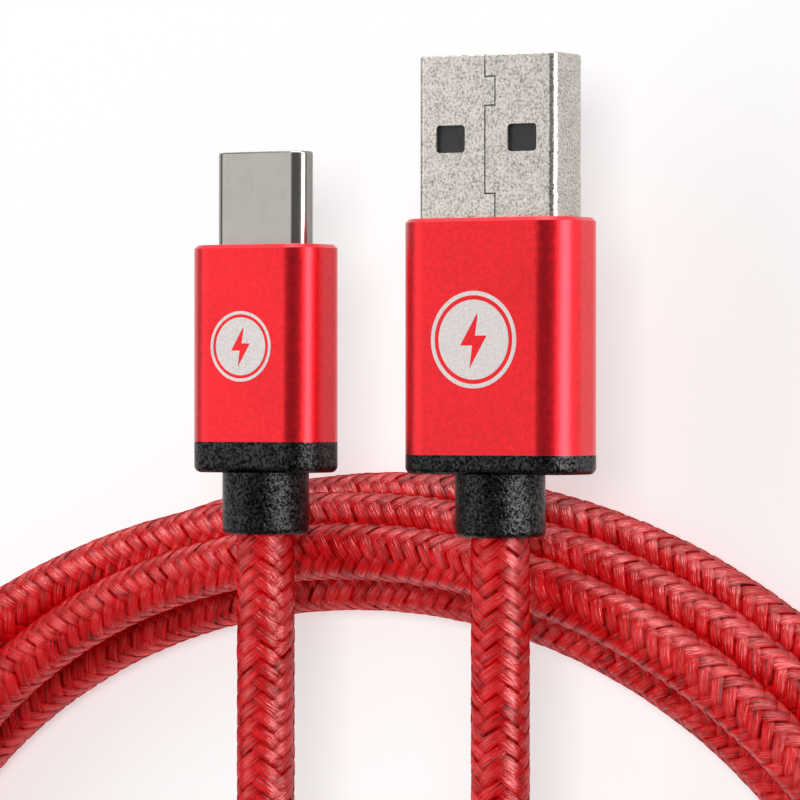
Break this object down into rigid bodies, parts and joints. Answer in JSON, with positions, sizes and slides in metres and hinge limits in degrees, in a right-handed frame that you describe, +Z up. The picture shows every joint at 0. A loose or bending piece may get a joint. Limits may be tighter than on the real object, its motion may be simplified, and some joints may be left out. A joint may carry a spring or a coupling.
{
  "type": "charging cable",
  "caption": "Coiled braided charging cable with a flat rectangular plug at one leg and a small oval reversible plug at the other, both in red metal shells.",
  "frame": {"origin": "middle of the coil, on the table that the coil lies on", "axes": "+Z up out of the table, +Y the way both plugs point, +X from the USB-C leg towards the USB-A leg"},
  "size_m": [0.1192, 0.1354, 0.0208],
  "materials": {
    "red_nylon_braid": "woven nylon, satin sheen",
    "dark_jacket": "matte",
    "foil": "bright foil",
    "core_insulation": "satin",
    "copper": "bright drawn copper",
    "red_anodised_aluminium": "bead blasted and anodised red, satin",
    "black_moulding": "fine spark-eroded texture",
    "nickel_plate": "satin nickel plate",
    "black_insulator": "smooth",
    "white_insulator": "smooth",
    "gold_contacts": "gold plate",
    "spring_steel": "bright",
    "solder": "satin",
    "circuit_board": "solder mask",
    "resistor_body": "ceramic",
    "inner_moulding": "natural polyethylene",
    "crimp_brass": "tinned brass"
  },
  "bodies": {
    "coil": {"coil_sleeve": "red_nylon_braid", "coil_inner_jacket": "dark_jacket", "coil_core_bundle": "foil", "usb_c_leg_root_jacket": "dark_jacket", "usb_a_leg_root_jacket": "dark_jacket"},
    "usb_c_lower_leg": {"usb_c_lower_leg_jacket": "dark_jacket"},
    "usb_c_upper_leg": {"usb_c_upper_leg_jacket": "dark_jacket", "usb_c_leg_sleeve": "red_nylon_braid", "usb_c_leg_foil_shield": "foil", "usb_c_leg_core_insulation": "core_insulation", "usb_c_leg_core_copper": "copper"},
    "usb_a_lower_leg": {"usb_a_lower_leg_jacket": "dark_jacket"},
    "usb_a_upper_leg": {"usb_a_upper_leg_jacket": "dark_jacket", "usb_a_leg_sleeve": "red_nylon_braid", "usb_a_leg_foil_shield": "foil", "usb_a_leg_core_insulation": "core_insulation", "usb_a_leg_core_copper": "copper"},
    "usb_c_plug": {"usb_c_plug_jacket": "dark_jacket", "usb_c_strain_relief": "black_moulding", "usb_c_aluminium_shell": "red_anodised_aluminium", "usb_c_metal_shell": "nickel_plate", "usb_c_front_housing": "black_insulator", "usb_c_rear_housing": "black_insulator", "usb_c_contact_tails": "gold_contacts", "usb_c_latch_roots": "spring_steel", "usb_c_circuit_board": "circuit_board", "usb_c_resistor": "resistor_body", "usb_c_solder_joints": "solder", "usb_c_wire_insulation": "core_insulation", "usb_c_wire_copper": "copper", "usb_c_inner_mold": "inner_moulding", "usb_c_crimp_ring": "crimp_brass"},
    "usb_c_upper_contact_row": {"usb_c_upper_contacts": "gold_contacts"},
    "usb_c_lower_contact_row": {"usb_c_lower_contacts": "gold_contacts"},
    "usb_c_left_latch_arm": {"usb_c_left_latch": "spring_steel"},
    "usb_c_right_latch_arm": {"usb_c_right_latch": "spring_steel"},
    "usb_a_plug": {"usb_a_plug_jacket": "dark_jacket", "usb_a_strain_relief": "black_moulding", "usb_a_aluminium_shell": "red_anodised_aluminium", "usb_a_metal_shell": "nickel_plate", "usb_a_insulator": "black_insulator", "usb_a_rear_housing": "white_insulator", "usb_a_contacts": "gold_contacts", "usb_a_solder_joints": "solder", "usb_a_wire_insulation": "core_insulation", "usb_a_wire_copper": "copper", "usb_a_inner_mold": "inner_moulding", "usb_a_crimp_ring": "crimp_brass"}
  },
  "joints": [
    {"name": "usb_c_leg_lift", "type": "hinge", "parent": "coil", "child": "usb_c_lower_leg", "pos_m": [-0.0024, 0.012, 0.01723], "axis": [1, 0, 0], "range_deg": [0, 45], "stiffness_Nm_per_rad": 0.02, "deforming": ["usb_c_leg_sleeve", "usb_c_leg_foil_shield", "usb_c_leg_core_insulation", "usb_c_leg_core_copper"]},
    {"name": "usb_c_leg_sway", "type": "hinge", "parent": "usb_c_lower_leg", "child": "usb_c_upper_leg", "pos_m": [-0.0024, 0.03, 0.01723], "axis": [0, 0, 1], "range_deg": [-3, 25], "stiffness_Nm_per_rad": 0.02},
    {"name": "usb_c_plug_bend", "type": "hinge", "parent": "usb_c_upper_leg", "child": "usb_c_plug", "pos_m": [-0.0024, 0.0434, 0.01723], "axis": [1, 0, 0], "range_deg": [0, 35], "stiffness_Nm_per_rad": 0.02},
    {"name": "usb_a_leg_lift", "type": "hinge", "parent": "coil", "child": "usb_a_lower_leg", "pos_m": [0.0186, 0.012, 0.01723], "axis": [1, 0, 0], "range_deg": [0, 45], "stiffness_Nm_per_rad": 0.02, "deforming": ["usb_a_leg_sleeve", "usb_a_leg_foil_shield", "usb_a_leg_core_insulation", "usb_a_leg_core_copper"]},
    {"name": "usb_a_leg_sway", "type": "hinge", "parent": "usb_a_lower_leg", "child": "usb_a_upper_leg", "pos_m": [0.0186, 0.03, 0.01723], "axis": [0, 0, 1], "range_deg": [-25, 3], "stiffness_Nm_per_rad": 0.02},
    {"name": "usb_a_plug_bend", "type": "hinge", "parent": "usb_a_upper_leg", "child": "usb_a_plug", "pos_m": [0.0186, 0.0434, 0.01723], "axis": [1, 0, 0], "range_deg": [0, 35], "stiffness_Nm_per_rad": 0.02},
    {"name": "usb_c_upper_contact_flex", "type": "hinge", "parent": "usb_c_plug", "child": "usb_c_upper_contact_row", "pos_m": [-0.0024, 0.0699, 0.01773], "axis": [1, 0, 0], "range_deg": [0, 1.5]},
    {"name": "usb_c_lower_contact_flex", "type": "hinge", "parent": "usb_c_plug", "child": "usb_c_lower_contact_row", "pos_m": [-0.0024, 0.0699, 0.01673], "axis": [1, 0, 0], "range_deg": [-1.5, 0]},
    {"name": "usb_c_left_latch_flex", "type": "hinge", "parent": "usb_c_plug", "child": "usb_c_left_latch_arm", "pos_m": [-0.00589, 0.0699, 0.01723], "axis": [0, 0, 1], "range_deg": [0, 1.5]},
    {"name": "usb_c_right_latch_flex", "type": "hinge", "parent": "usb_c_plug", "child": "usb_c_right_latch_arm", "pos_m": [0.00109, 0.0699, 0.01723], "axis": [0, 0, 1], "range_deg": [-1.5, 0]}
  ],
  "couplings": [
    {"joint": "usb_c_lower_contact_flex", "follows": "usb_c_upper_contact_flex", "ratio": -1},
    {"joint": "usb_c_right_latch_flex", "follows": "usb_c_left_latch_flex", "ratio": -1}
  ]
}
